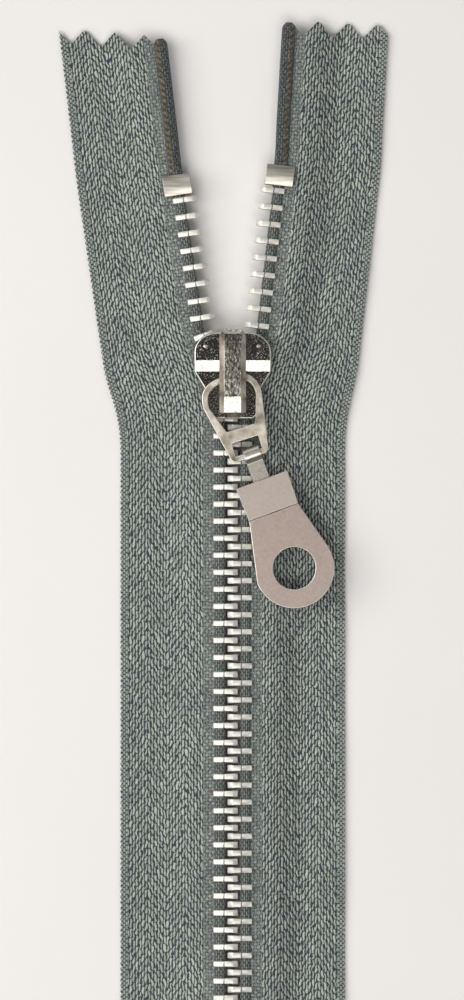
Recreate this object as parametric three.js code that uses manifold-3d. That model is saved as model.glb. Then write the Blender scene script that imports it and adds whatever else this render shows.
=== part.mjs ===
// A metal zipper, partly open, lying on its back: two cloth tapes, two rows of metal teeth on cord beads,
// a locking slider, and a pull that hangs from the slider on a link. Millimetres, +Z up.
// The origin is under the middle of the slider, +Y runs along the chain towards the open end.
// Both sides are worked out in the closed position, then the open stretches are turned out to rest.
import * as THREE from "three";
import { mergeVertices } from "three/addons/utils/BufferGeometryUtils.js";
import Module from "manifold-3d";

const wasm = await Module();
wasm.setup();

// Chain: teeth, and the cord beads that they are clamped on.
const PITCH = 2.48;
const TEETH_PER_SIDE = 60;
const TOOTH_THICKNESS = 0.87;
const TOOTH_HEIGHT = 2.7;
const TOOTH_REACH = 0.75; // how far a tooth crosses the middle of the chain
const TOOTH_NOSE = 0.22;
const BEAD_DIAMETER = 1.7;
const BEAD_OFFSET = 1.87; // middle of the chain to the middle of a bead
const BEAD_SIDES = 6;
const BEND_GAP = 0.4; // between two lengths of bead that meet at an angle
const JAW_LIP = 0.06; // how far a tooth's jaws reach past the bead
const CHAIN_Z = 2.5; // height of the chain's mid-plane
const TOP_TOOTH_Y = 25.95; // first tooth on the left, in the closed position
const HALF_STEP = PITCH / 2;

// Tapes.
const TAPE_THICKNESS = 0.7;
const TAPE_OUTER = 16.3;
const TAPE_LEVEL_TO = 5.95; // level with the chain as far as here
const TAPE_DOWN_AT = 9.2; // flat on the table from here
const TAPE_TAIL = 18; // cloth below the bottom stop

// Stops.
const TOP_STOP_WIDTH = 4.1;
const TOP_STOP_LENGTH = 3.0;
const BOTTOM_STOP_LENGTH = 3.2;
const STOP_HEIGHT = 2.6;
const STOP_WALL = 0.5;

// Opening: the open legs swing about a point far down the chain, and the teeth inside the slider turn
// about the point where the two rows meet.
const LEG_PIVOT_Y = -14.8;
const SIDES = {
  left: { side: -1, legAngle: 8.3, mouthAngle: 19.2, tailBend: 1.6, mouthTeeth: 4, topTeeth: 4,
    legTeeth: 4, phase: 0, tapeTopInner: 49.3, tapeTopOuter: 52.3 },
  right: { side: 1, legAngle: 6.5, mouthAngle: 17.5, tailBend: 3.2, mouthTeeth: 3, topTeeth: 4,
    legTeeth: 5, phase: HALF_STEP, tapeTopInner: 51.4, tapeTopOuter: 51.6 },
};

// Slider.
const PLATE = 1.0;
const CHAIN_ROOM = 0.15; // between the teeth and each plate
const SLIDER_HALF_LENGTH = 6.28;
const SLIDER_HALF_WIDTH = 5.6;
const NOSE_HALF_WIDTH = 2.26;
const SHOULDER_TOP = 3.4;
const SHOULDER_BOTTOM = 0.6;
const WAIST_HALF_WIDTH = 4.2;
const WAIST_Y = -1.7;
const TAIL_HALF_WIDTH = 3.75;
const TAIL_CORNER = 0.8;
const CHANNEL_ROOM = 0.18; // between the outer ends of the teeth and the flanges
const TAPE_SLOT = 1.2;
const WEDGE_HALF_WIDTH = 1.2;
const WEDGE_LENGTH = 4.0;

// Crown: the bridge over the slider, which holds the link and the lock.
const CROWN_TOP_HALF = 1.25;
const CROWN_HALF = 1.95;
const CROWN_FOOT_HALF = 1.2;
const CROWN_TOP_Z = 8.4;
const CROWN_SHOULDER_Z = 7.75;
const CROWN_ARCH_Z = 6.85;
const CROWN_FRONT = 6.85;
const CROWN_REAR = -6.15;
const ARCH_FRONT = 4.9;
const ARCH_REAR = -3.9;
const ARCH_CHAMFER = 0.4;
const SEAT_GAP = 0.02;

// Lock: a leaf under the crown with a pin that drops through the slider between the teeth.
const PIN_WIDTH = 0.6;
const PIN_Y = -3.2;
const PIN_ROOM = 0.12;
const LEAF_THICKNESS = 0.35;
const LEAF_FRONT = -1.35;
const LEAF_REAR = ARCH_REAR + ARCH_CHAMFER;
const LOCK_LIFT = 0.3;

// Link: a pear-shaped ring through the crown with a slot at its lower end.
const LINK_ANGLE = 17.5;
const LINK_THICKNESS = 1.2;
const LINK_RISE = 0.85; // slider's top face to the middle of the link
const LINK_CENTRE_Y = -3.65;
const RING_HALF_WIDTH = 4.42;
const RING_UP = 3.75;
const RAIL = 0.85;
const RING_POWER = 2.6; // 2 would be an ellipse
const EYE_BOTTOM = 4.1; // ring centre down to the lower edge of its eye
const EYE_BOTTOM_HALF = 2.2;
const SLOT_TOP = 5.95;
const SLOT_HALF_WIDTH = 2.0;
const SLOT_BOTTOM = 7.9;
const LINK_BOTTOM = 8.73;
const LINK_BOTTOM_HALF = 2.85;

// Pull: a strap round the link's lower bar, a folded clamp, and a plate with a round hole.
const PULL_ANGLE = 20.3;
const PULL_SHIFT = 0.35; // along the link's lower bar
const STRAP_WIDTH = 2.5;
const STRAP_THICKNESS = 0.37;
const STRAP_LOOP = 0.85; // inner radius
const STRAP_END = 5.2;
const PULL_DROP = 1.2; // the plate's mid-plane below the link's
const PULL_THICKNESS = 1.0;
const CLAMP_TOP = 3.93; // below the link's lower bar
const CLAMP_LENGTH = 5.0;
const CLAMP_HALF_WIDTH = 3.95;
const CLAMP_THICKNESS = 1.4;
const CLAMP_WALL = 0.35;
const SEAM_HALF_WIDTH = 3.8;
const TONGUE_TOP = 5.5;
const FIT = 0.05;
const HOLE_CENTRE = 17.63;
const HOLE_RADIUS = 3.1;
const PULL_END_RADIUS = 5.85;

// Sizes worked out from the ones above.
const PLATE_Z = CHAIN_Z + TOOTH_HEIGHT / 2 + CHAIN_ROOM; // underside of the slider's top plate
const SLIDER_TOP = PLATE_Z + PLATE;
const LOWER_PLATE_Z = CHAIN_Z - TOOTH_HEIGHT / 2 - CHAIN_ROOM - PLATE;
const BEAD_OUTER = BEAD_OFFSET + BEAD_DIAMETER / 2;
const TOOTH_OUTER = BEAD_OUTER + JAW_LIP;
const TAPE_INNER = TOOTH_OUTER + FIT;
const LINK_Z = SLIDER_TOP + LINK_RISE;

const STEEL = new THREE.MeshStandardMaterial({ color: 0xc9c7c2, roughness: 0.2, metalness: 1 });
const TOOTH_METAL = new THREE.MeshStandardMaterial({ color: 0xcfcfcc, roughness: 0.35, metalness: 1 });
const PULL_METAL = new THREE.MeshStandardMaterial({ color: 0xbfb5ae, roughness: 0.4, metalness: 1 });
const CLOTH = new THREE.MeshStandardMaterial({ color: 0x5d6c70, roughness: 0.95, metalness: 0 });
const CORD = new THREE.MeshStandardMaterial({ color: 0x6d716c, roughness: 0.9, metalness: 0 });

// Geometry helpers.
const UPRIGHT = new THREE.Matrix4().makeBasis(
  new THREE.Vector3(1, 0, 0),
  new THREE.Vector3(0, 0, 1),
  new THREE.Vector3(0, -1, 0),
);
const SIDEWAYS = new THREE.Matrix4().makeBasis(
  new THREE.Vector3(0, 1, 0),
  new THREE.Vector3(0, 0, 1),
  new THREE.Vector3(1, 0, 0),
);

function shapeOf(points) {
  return new THREE.Shape(points.map(([x, y]) => new THREE.Vector2(x, y)));
}

// A plan outline, from one height to another.
function slab(points, zLow, zHigh) {
  const made = new THREE.ExtrudeGeometry(shapeOf(points), { depth: zHigh - zLow, bevelEnabled: false });
  return made.translate(0, 0, zLow);
}

// A cross-section in X and Z, run along Y.
function bar(points, yLow, yHigh) {
  const made = new THREE.ExtrudeGeometry(shapeOf(points), { depth: yHigh - yLow, bevelEnabled: false });
  return made.applyMatrix4(UPRIGHT).translate(0, yHigh, 0);
}

// A side view in Y and Z, run across X.
function crosswise(points, half) {
  const made = new THREE.ExtrudeGeometry(shapeOf(points), { depth: 2 * half, bevelEnabled: false });
  return made.applyMatrix4(SIDEWAYS).translate(-half, 0, 0);
}

function box(xLow, xHigh, yLow, yHigh, zLow, zHigh) {
  return new THREE.BoxGeometry(xHigh - xLow, yHigh - yLow, zHigh - zLow).translate(
    (xLow + xHigh) / 2,
    (yLow + yHigh) / 2,
    (zLow + zHigh) / 2,
  );
}

function solid(geometry) {
  const bare = geometry.clone();
  bare.deleteAttribute("normal");
  bare.deleteAttribute("uv");
  const merged = mergeVertices(bare, 1e-4);
  const vertProperties = merged.attributes.position.array;
  return new wasm.Manifold(new wasm.Mesh({ numProp: 3, vertProperties, triVerts: merged.index.array }));
}

function geometryOf(made) {
  const { vertProperties, triVerts } = made.getMesh();
  const geometry = new THREE.BufferGeometry();
  geometry.setAttribute("position", new THREE.BufferAttribute(vertProperties, 3));
  geometry.setIndex(new THREE.BufferAttribute(triVerts, 1));
  geometry.computeVertexNormals();
  return geometry;
}

function part(name, geometry, material) {
  const mesh = new THREE.Mesh(geometry, material);
  mesh.name = name;
  return mesh;
}

function group(...children) {
  const made = new THREE.Group();
  made.add(...children);
  return made;
}

// Its children turned by an angle in degrees about an upright line through x, y.
function turned(x, y, degrees, ...children) {
  const inner = group(...children);
  inner.position.set(-x, -y, 0);
  const outer = group(inner);
  outer.position.set(x, y, 0);
  outer.rotation.z = THREE.MathUtils.degToRad(degrees);
  return outer;
}

// Chain.
function beadSection(side) {
  const points = [];
  for (let i = 0; i < BEAD_SIDES; i++) {
    const angle = (i / BEAD_SIDES) * 2 * Math.PI;
    points.push([
      side * BEAD_OFFSET + (BEAD_DIAMETER / 2) * Math.cos(angle),
      CHAIN_Z + (BEAD_DIAMETER / 2) * Math.sin(angle),
    ]);
  }
  return points;
}

function bead(side, yLow, yHigh) {
  return bar(beadSection(side), yLow, yHigh);
}

// Plan of a tooth about its own middle: a bar with a small nose near the tip, on the side of the open end.
function toothPlan(side) {
  const half = TOOTH_THICKNESS / 2;
  const noseInner = TOOTH_REACH - 0.2;
  return [
    [side * TOOTH_OUTER, -half],
    [-side * TOOTH_REACH, -half],
    [-side * TOOTH_REACH, half - 0.12],
    [-side * noseInner, half + TOOTH_NOSE],
    [side * 0.15, half + TOOTH_NOSE],
    [side * 0.5, half],
    [side * TOOTH_OUTER, half],
  ];
}

function toothBlock(side) {
  return slab(toothPlan(side), CHAIN_Z - TOOTH_HEIGHT / 2, CHAIN_Z + TOOTH_HEIGHT / 2);
}

// A tooth with its two jaws open round the bead.
function clampedTooth(side) {
  const inner = BEAD_OFFSET - BEAD_DIAMETER / 2 - FIT;
  const outer = TOOTH_OUTER + 1;
  const room = BEAD_DIAMETER / 2 + FIT;
  const low = Math.min(side * inner, side * outer);
  const high = Math.max(side * inner, side * outer);
  const gap = box(low, high, -2, 2, CHAIN_Z - room, CHAIN_Z + room);
  return geometryOf(solid(toothBlock(side)).subtract(solid(gap)));
}

function toothY(index, phase) {
  return TOP_TOOTH_Y + phase - index * PITCH;
}

// The closed chain's half: a bead with its teeth clamped on, as one piece.
function toothRow(side, firstIndex, phase, yLow, yHigh) {
  let made = solid(bead(side, yLow, yHigh));
  const tooth = solid(toothBlock(side));
  for (let index = firstIndex; index < TEETH_PER_SIDE; index++) {
    made = made.add(tooth.translate(0, toothY(index, phase), 0));
  }
  return geometryOf(made);
}

// Tapes.
function tapeSection(side) {
  const low = CHAIN_Z - TAPE_THICKNESS / 2;
  const high = CHAIN_Z + TAPE_THICKNESS / 2;
  const points = [
    [TAPE_INNER, low],
    [TAPE_LEVEL_TO - TAPE_THICKNESS / 2, low],
    [TAPE_DOWN_AT - TAPE_THICKNESS / 2, LOWER_PLATE_Z],
    [TAPE_OUTER, LOWER_PLATE_Z],
    [TAPE_OUTER, LOWER_PLATE_Z + TAPE_THICKNESS],
    [TAPE_DOWN_AT, LOWER_PLATE_Z + TAPE_THICKNESS],
    [TAPE_LEVEL_TO, high],
    [TAPE_INNER, high],
  ];
  return points.map(([x, z]) => [side * x, z]);
}

// The closed tape ends where the turned leg begins.
function closedTape({ side, legAngle }, yLow) {
  const reach = 2 * TAPE_OUTER;
  const clearance = 0.15;
  const leg = box(-reach, reach, LEG_PIVOT_Y - clearance, LEG_PIVOT_Y + reach, -reach, reach);
  leg.translate(-side * BEAD_OFFSET, -LEG_PIVOT_Y, 0);
  leg.rotateZ(THREE.MathUtils.degToRad(-side * legAngle));
  leg.translate(side * BEAD_OFFSET, LEG_PIVOT_Y, 0);
  const whole = bar(tapeSection(side), yLow, LEG_PIVOT_Y + 1);
  return geometryOf(solid(whole).subtract(solid(leg)));
}

// The top end is cut on a slant from the inner to the outer edge.
function tailTape({ side, tapeTopInner, tapeTopOuter }, yLow) {
  const whole = bar(tapeSection(side), yLow, Math.max(tapeTopInner, tapeTopOuter) + 1);
  const plan = [
    [0, yLow - 1],
    [side * (TAPE_OUTER + 1), yLow - 1],
    [side * (TAPE_OUTER + 1), tapeTopOuter],
    [0, tapeTopInner],
  ];
  return geometryOf(solid(whole).intersect(solid(slab(plan, -1, 2 * CHAIN_Z + 1))));
}

// Stops.
function topStop(side, yLow) {
  const inner = BEAD_OFFSET - TOP_STOP_WIDTH / 2;
  const outer = BEAD_OFFSET + TOP_STOP_WIDTH / 2;
  const web = BEAD_OFFSET - BEAD_DIAMETER / 2 - FIT;
  const low = CHAIN_Z - STOP_HEIGHT / 2;
  const high = CHAIN_Z + STOP_HEIGHT / 2;
  const room = BEAD_DIAMETER / 2 + FIT;
  const jaw = STOP_HEIGHT / 2 - STOP_WALL;
  const section = [
    [inner, low],
    [outer, low],
    [outer, CHAIN_Z - Math.max(jaw, room)],
    [web, CHAIN_Z - Math.max(jaw, room)],
    [web, CHAIN_Z + Math.max(jaw, room)],
    [outer, CHAIN_Z + Math.max(jaw, room)],
    [outer, high],
    [inner, high],
  ];
  const mirrored = section.map(([x, z]) => [side * x, z]);
  return bar(mirrored, yLow, yLow + TOP_STOP_LENGTH);
}

function bottomStop(yHigh) {
  const outer = BEAD_OUTER + STOP_WALL;
  const web = BEAD_OFFSET - BEAD_DIAMETER / 2 - FIT;
  const room = BEAD_DIAMETER / 2 + FIT;
  const yLow = yHigh - BOTTOM_STOP_LENGTH;
  const low = CHAIN_Z - STOP_HEIGHT / 2;
  const high = CHAIN_Z + STOP_HEIGHT / 2;
  let made = solid(box(-outer, outer, yLow, yHigh, low, high));
  const zLow = CHAIN_Z - room;
  const zHigh = CHAIN_Z + room;
  made = made.subtract(solid(box(web, outer + 1, yLow - 1, yHigh + 1, zLow, zHigh)));
  made = made.subtract(solid(box(-outer - 1, -web, yLow - 1, yHigh + 1, zLow, zHigh)));
  return geometryOf(made);
}

// Slider body: two plates joined by a wedge at the nose, with flanges that turn in along the edges.
function plateOutline() {
  const half = [];
  const steps = 5;
  for (let i = 0; i <= steps; i++) {
    const angle = (1 - i / steps) * (Math.PI / 2);
    half.push([
      NOSE_HALF_WIDTH + (SLIDER_HALF_WIDTH - NOSE_HALF_WIDTH) * Math.cos(angle),
      SHOULDER_TOP + (SLIDER_HALF_LENGTH - SHOULDER_TOP) * Math.sin(angle),
    ]);
  }
  half.push([SLIDER_HALF_WIDTH, SHOULDER_BOTTOM]);
  half.push([WAIST_HALF_WIDTH, WAIST_Y]);
  half.push([TAIL_HALF_WIDTH, WAIST_Y - TAIL_CORNER]);
  half.push([TAIL_HALF_WIDTH, -SLIDER_HALF_LENGTH + TAIL_CORNER]);
  half.push([TAIL_HALF_WIDTH - TAIL_CORNER, -SLIDER_HALF_LENGTH]);
  const mirrored = half.map(([x, y]) => [-x, y]).reverse();
  return [...half, ...mirrored];
}

// The Y-shaped way that the teeth take through the slider, as wide as the wider of the two turns.
function channelOutline() {
  const tail = TOOTH_OUTER + CHANNEL_ROOM;
  const widest = Math.max(SIDES.left.mouthAngle, SIDES.right.mouthAngle);
  const turnY = Math.min(meetingY(SIDES.left), meetingY(SIDES.right));
  const end = SLIDER_HALF_LENGTH + 1;
  const mouth = tail + (end - turnY) * Math.tan(THREE.MathUtils.degToRad(widest));
  return [
    [-tail, -end],
    [tail, -end],
    [tail, turnY],
    [mouth, end],
    [-mouth, end],
    [-tail, turnY],
  ];
}

function sliderBody() {
  const outline = plateOutline();
  const lowerTop = LOWER_PLATE_Z + PLATE;
  const channel = solid(slab(channelOutline(), 0, 2 * CHAIN_Z));
  const lowerFlange = solid(slab(outline, lowerTop - FIT, CHAIN_Z - TAPE_SLOT / 2)).subtract(channel);
  const upperFlange = solid(slab(outline, CHAIN_Z + TAPE_SLOT / 2, PLATE_Z + FIT)).subtract(channel);
  const nose = SLIDER_HALF_LENGTH - 0.1;
  const wedgePlan = [
    [-0.15, nose - WEDGE_LENGTH],
    [0.15, nose - WEDGE_LENGTH],
    [WEDGE_HALF_WIDTH, nose - 0.4],
    [WEDGE_HALF_WIDTH - 0.4, nose],
    [0.4 - WEDGE_HALF_WIDTH, nose],
    [-WEDGE_HALF_WIDTH, nose - 0.4],
  ];
  const pinHalf = PIN_WIDTH / 2 + PIN_ROOM;
  let made = solid(slab(outline, LOWER_PLATE_Z, lowerTop));
  made = made.add(solid(slab(outline, PLATE_Z, SLIDER_TOP)));
  made = made.add(lowerFlange).add(upperFlange);
  made = made.add(solid(slab(wedgePlan, lowerTop - FIT, PLATE_Z + FIT)));
  const pinHole = box(-pinHalf, pinHalf, PIN_Y - pinHalf, PIN_Y + pinHalf, PLATE_Z - 1, SLIDER_TOP + 1);
  return geometryOf(made.subtract(solid(pinHole)));
}

function crown() {
  const foot = SLIDER_TOP + SEAT_GAP;
  const sideView = [
    [CROWN_REAR, foot],
    [ARCH_REAR, foot],
    [ARCH_REAR, CROWN_ARCH_Z - ARCH_CHAMFER],
    [ARCH_REAR + ARCH_CHAMFER, CROWN_ARCH_Z],
    [ARCH_FRONT - ARCH_CHAMFER, CROWN_ARCH_Z],
    [ARCH_FRONT, CROWN_ARCH_Z - ARCH_CHAMFER],
    [ARCH_FRONT, foot],
    [SLIDER_HALF_LENGTH - 0.1, foot],
    [CROWN_FRONT, foot + 0.8],
    [CROWN_FRONT - 0.1, CROWN_SHOULDER_Z - 0.4],
    [CROWN_FRONT - 0.8, CROWN_TOP_Z - 0.25],
    [CROWN_FRONT - 2, CROWN_TOP_Z],
    [ARCH_REAR + 0.8, CROWN_TOP_Z],
    [CROWN_REAR + 0.7, CROWN_SHOULDER_Z],
  ];
  const endView = [
    [CROWN_FOOT_HALF, foot - 1],
    [CROWN_FOOT_HALF, CROWN_ARCH_Z],
    [CROWN_HALF, CROWN_SHOULDER_Z],
    [CROWN_TOP_HALF, CROWN_TOP_Z],
    [CROWN_TOP_HALF, CROWN_TOP_Z + 1],
    [-CROWN_TOP_HALF, CROWN_TOP_Z + 1],
    [-CROWN_TOP_HALF, CROWN_TOP_Z],
    [-CROWN_HALF, CROWN_SHOULDER_Z],
    [-CROWN_FOOT_HALF, CROWN_ARCH_Z],
    [-CROWN_FOOT_HALF, foot - 1],
  ];
  const across = solid(crosswise(sideView, 2 * CROWN_HALF));
  const along = solid(bar(endView, CROWN_REAR - 1, CROWN_FRONT + 1));
  return geometryOf(across.intersect(along));
}

function lockSpring() {
  const half = PIN_WIDTH / 2;
  const leafTop = CROWN_ARCH_Z - LOCK_LIFT - 0.1;
  const leafLow = leafTop - LEAF_THICKNESS;
  const tip = PLATE_Z - FIT;
  const leaf = solid(box(-2 * half, 2 * half, LEAF_REAR, LEAF_FRONT, leafLow, leafTop));
  return geometryOf(leaf.add(solid(box(-half, half, PIN_Y - half, PIN_Y + half, tip, leafTop))));
}

// Link and pull, each about its own upper hinge line.
function superEllipse(halfWidth, up, from, to, steps) {
  const points = [];
  for (let i = 0; i <= steps; i++) {
    const angle = from + ((to - from) * i) / steps;
    const c = Math.cos(angle);
    const s = Math.sin(angle);
    const x = halfWidth * Math.sign(c) * Math.abs(c) ** (2 / RING_POWER);
    points.push([x, up * Math.abs(s) ** (2 / RING_POWER)]);
  }
  return points;
}

function linkRing() {
  const outer = superEllipse(RING_HALF_WIDTH, RING_UP, 0, Math.PI, 16);
  outer.push([-LINK_BOTTOM_HALF, -LINK_BOTTOM + 0.5]);
  outer.push([-LINK_BOTTOM_HALF + 0.5, -LINK_BOTTOM]);
  outer.push([LINK_BOTTOM_HALF - 0.5, -LINK_BOTTOM]);
  outer.push([LINK_BOTTOM_HALF, -LINK_BOTTOM + 0.5]);
  const eye = superEllipse(RING_HALF_WIDTH - RAIL, RING_UP - RAIL, 0, Math.PI, 12);
  eye.push([-EYE_BOTTOM_HALF, -EYE_BOTTOM]);
  eye.push([EYE_BOTTOM_HALF, -EYE_BOTTOM]);
  const slot = [
    [-SLOT_HALF_WIDTH, -SLOT_BOTTOM],
    [SLOT_HALF_WIDTH, -SLOT_BOTTOM],
    [SLOT_HALF_WIDTH, -SLOT_TOP],
    [-SLOT_HALF_WIDTH, -SLOT_TOP],
  ];
  const half = LINK_THICKNESS / 2;
  let made = solid(slab(outer, -half, half));
  made = made.subtract(solid(slab(eye, -LINK_THICKNESS, LINK_THICKNESS)));
  made = made.subtract(solid(slab(slot, -LINK_THICKNESS, LINK_THICKNESS)));
  return geometryOf(made);
}

function circle(radius, sides) {
  const points = [];
  for (let i = 0; i < sides; i++) {
    const angle = (i / sides) * 2 * Math.PI;
    points.push([radius * Math.cos(angle), radius * Math.sin(angle)]);
  }
  return points;
}

function pullStrap() {
  const half = STRAP_WIDTH / 2;
  const outer = STRAP_LOOP + STRAP_THICKNESS;
  const middle = -PULL_DROP;
  let made = solid(crosswise(circle(outer, 16), half));
  made = made.add(
    solid(box(-half, half, -STRAP_END, 0, middle - STRAP_THICKNESS / 2, middle + STRAP_THICKNESS / 2)),
  );
  return geometryOf(made.subtract(solid(crosswise(circle(STRAP_LOOP, 16), STRAP_WIDTH))));
}

function pullClamp() {
  const half = CLAMP_THICKNESS / 2;
  const bottom = CLAMP_TOP + CLAMP_LENGTH;
  const inside = half - CLAMP_WALL;
  const plan = [
    [-CLAMP_HALF_WIDTH, -CLAMP_TOP],
    [-SEAM_HALF_WIDTH, -bottom],
    [SEAM_HALF_WIDTH, -bottom],
    [CLAMP_HALF_WIDTH, -CLAMP_TOP],
  ];
  const roomHalf = SEAM_HALF_WIDTH - CLAMP_WALL;
  const slotHalf = STRAP_WIDTH / 2 + FIT;
  const slotZ = STRAP_THICKNESS / 2 + FIT;
  const wallY = -CLAMP_TOP - CLAMP_WALL;
  let made = solid(slab(plan, -half, half));
  made = made.subtract(solid(box(-roomHalf, roomHalf, -bottom - 1, wallY, -inside, inside)));
  made = made.subtract(solid(box(-slotHalf, slotHalf, wallY - 0.1, 1 - CLAMP_TOP, -slotZ, slotZ)));
  return geometryOf(made).translate(0, 0, -PULL_DROP);
}

function pullPlate() {
  const seam = CLAMP_TOP + CLAMP_LENGTH + FIT;
  const outline = [[-SEAM_HALF_WIDTH, -seam]];
  const steps = 18;
  const start = Math.PI * 1.02;
  const sweep = Math.PI * 1.04;
  for (let i = 0; i <= steps; i++) {
    const angle = start + (sweep * i) / steps;
    outline.push([PULL_END_RADIUS * Math.cos(angle), -HOLE_CENTRE + PULL_END_RADIUS * Math.sin(angle)]);
  }
  outline.push([SEAM_HALF_WIDTH, -seam]);
  const half = PULL_THICKNESS / 2;
  const tongueHalf = SEAM_HALF_WIDTH - CLAMP_WALL - FIT;
  const tongueZ = CLAMP_THICKNESS / 2 - CLAMP_WALL - FIT;
  const hole = slab(circle(HOLE_RADIUS, 24), -half - 1, half + 1).translate(0, -HOLE_CENTRE, 0);
  let made = solid(slab(outline, -half, half));
  made = made.add(solid(box(-tongueHalf, tongueHalf, -seam - 0.5, -TONGUE_TOP, -tongueZ, tongueZ)));
  return geometryOf(made.subtract(solid(hole))).translate(0, 0, -PULL_DROP);
}

// Where a side's teeth begin to part, half a pitch below its lowest turned tooth.
function meetingY({ mouthTeeth, legTeeth, topTeeth, phase }) {
  return toothY(mouthTeeth + legTeeth + topTeeth - 1, phase) - HALF_STEP;
}

// One side of the open end: mouth teeth inside the slider, then the leg, its top teeth and its tail.
function openSide(name, spec) {
  const { side, phase, mouthTeeth, legTeeth, topTeeth, legAngle, mouthAngle, tailBend } = spec;
  const beadX = side * BEAD_OFFSET;
  const tooth = clampedTooth(side);
  const gap = 0.1;
  const teeth = [];
  for (let index = 0; index < topTeeth + legTeeth + mouthTeeth; index++) {
    const mesh = part(`${name}_tooth_${String(index + 1).padStart(2, "0")}`, tooth, TOOTH_METAL);
    mesh.position.y = toothY(index, phase);
    teeth.push(mesh);
  }
  const legTop = toothY(topTeeth - 1, phase) - HALF_STEP;
  const mouthTop = toothY(topTeeth + legTeeth - 1, phase) - HALF_STEP;
  const stopY = toothY(0, phase) + TOOTH_THICKNESS / 2 + TOOTH_NOSE + gap;
  const stopTop = stopY + TOP_STOP_LENGTH;
  const tailEnd = spec.tapeTopInner - 0.5;
  const mouthBead = part(`${name}_mouth_bead`, bead(side, meetingY(spec) + BEND_GAP, mouthTop - gap), CORD);
  const legBead = part(`${name}_leg_bead`, bead(side, mouthTop + BEND_GAP, legTop - gap), CORD);
  const topBead = part(`${name}_top_bead`, bead(side, legTop + gap, stopTop), CORD);
  const tailBead = part(`${name}_tail_bead`, bead(side, stopTop + gap, tailEnd), CORD);
  const legTape = part(`${name}_leg_tape`, bar(tapeSection(side), LEG_PIVOT_Y, legTop - gap), CLOTH);
  const upperTape = part(`${name}_tail_tape`, tailTape(spec, legTop + gap), CLOTH);
  const stop = part(`${name}_top_stop`, topStop(side, stopY), STEEL);
  const tail = turned(beadX, stopTop, side * tailBend, tailBead, upperTape);
  const mouth = turned(beadX, meetingY(spec), -side * mouthAngle, mouthBead, ...teeth.slice(-mouthTeeth));
  const leg = turned(
    beadX,
    LEG_PIVOT_Y,
    -side * legAngle,
    legTape,
    legBead,
    topBead,
    ...teeth.slice(0, topTeeth + legTeeth),
    stop,
    tail,
  );
  return group(mouth, leg);
}

function closedSide(name, spec, yLow) {
  const { side, phase, mouthTeeth, legTeeth, topTeeth } = spec;
  const first = mouthTeeth + legTeeth + topTeeth;
  const row = toothRow(side, first, phase, yLow, meetingY(spec));
  return group(
    part(`${name}_tooth_row`, row, TOOTH_METAL),
    part(`${name}_tape`, closedTape(spec, yLow), CLOTH),
  );
}

// The whole zipper.
const lowestTooth = toothY(TEETH_PER_SIDE - 1, 0) - TOOTH_THICKNESS / 2;
const stopTopY = lowestTooth - 0.4;
const tapeLowY = stopTopY - BOTTOM_STOP_LENGTH - TAPE_TAIL;

const zipper = group(
  closedSide("left", SIDES.left, tapeLowY),
  closedSide("right", SIDES.right, tapeLowY),
  part("bottom_stop", bottomStop(stopTopY), STEEL),
  openSide("left", SIDES.left),
  openSide("right", SIDES.right),
  part("slider_body", sliderBody(), STEEL),
  part("slider_crown", crown(), STEEL),
  part("lock_spring", lockSpring(), STEEL),
);

const link = group(part("pull_link", linkRing(), STEEL));
link.rotation.z = THREE.MathUtils.degToRad(LINK_ANGLE);
link.position.set(0, LINK_CENTRE_Y, LINK_Z);

const pull = group(
  part("pull_strap", pullStrap(), PULL_METAL),
  part("pull_clamp", pullClamp(), PULL_METAL),
  part("pull_plate", pullPlate(), PULL_METAL),
);
pull.rotation.z = THREE.MathUtils.degToRad(PULL_ANGLE - LINK_ANGLE);
pull.position.set(PULL_SHIFT, -(SLOT_BOTTOM + LINK_BOTTOM) / 2, 0);
link.add(pull);
zipper.add(link);

export default zipper;
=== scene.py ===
"""A metal zipper, partly open: woven tapes, corded beads, clamped teeth, stops, slider, link and pull."""

import math

import bmesh
import bpy
import numpy as np
from mathutils import Matrix, Vector


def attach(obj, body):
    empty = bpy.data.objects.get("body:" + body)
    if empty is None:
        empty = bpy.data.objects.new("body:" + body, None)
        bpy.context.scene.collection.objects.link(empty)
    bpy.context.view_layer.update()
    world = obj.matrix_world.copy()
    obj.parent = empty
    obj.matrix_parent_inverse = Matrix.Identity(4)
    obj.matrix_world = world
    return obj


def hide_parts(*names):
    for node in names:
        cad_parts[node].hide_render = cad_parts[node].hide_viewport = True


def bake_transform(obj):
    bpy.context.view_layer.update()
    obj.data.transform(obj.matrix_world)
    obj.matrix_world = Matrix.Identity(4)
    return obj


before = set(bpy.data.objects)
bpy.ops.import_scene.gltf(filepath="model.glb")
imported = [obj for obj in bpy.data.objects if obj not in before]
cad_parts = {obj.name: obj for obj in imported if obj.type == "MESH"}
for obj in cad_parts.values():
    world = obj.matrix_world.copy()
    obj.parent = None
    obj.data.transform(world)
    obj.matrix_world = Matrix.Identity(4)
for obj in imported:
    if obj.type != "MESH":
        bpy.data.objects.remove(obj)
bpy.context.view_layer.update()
bpy.ops.object.select_all(action="DESELECT")


# Tapes. Each side is one strip of herringbone twill, woven of polyester, that lies flat at its
# sewing margin and rises to the chain at its inner edge. The upper end is cut with pinking shears.
# A side is two pieces: the lower bends at the opening, and the upper lies above it.
MM = 0.001
BEAD_X = 1.87
CHAIN_Z = 2.5
LEG_PIVOT_Y = -14.8
SLIDE = 20.0
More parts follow.
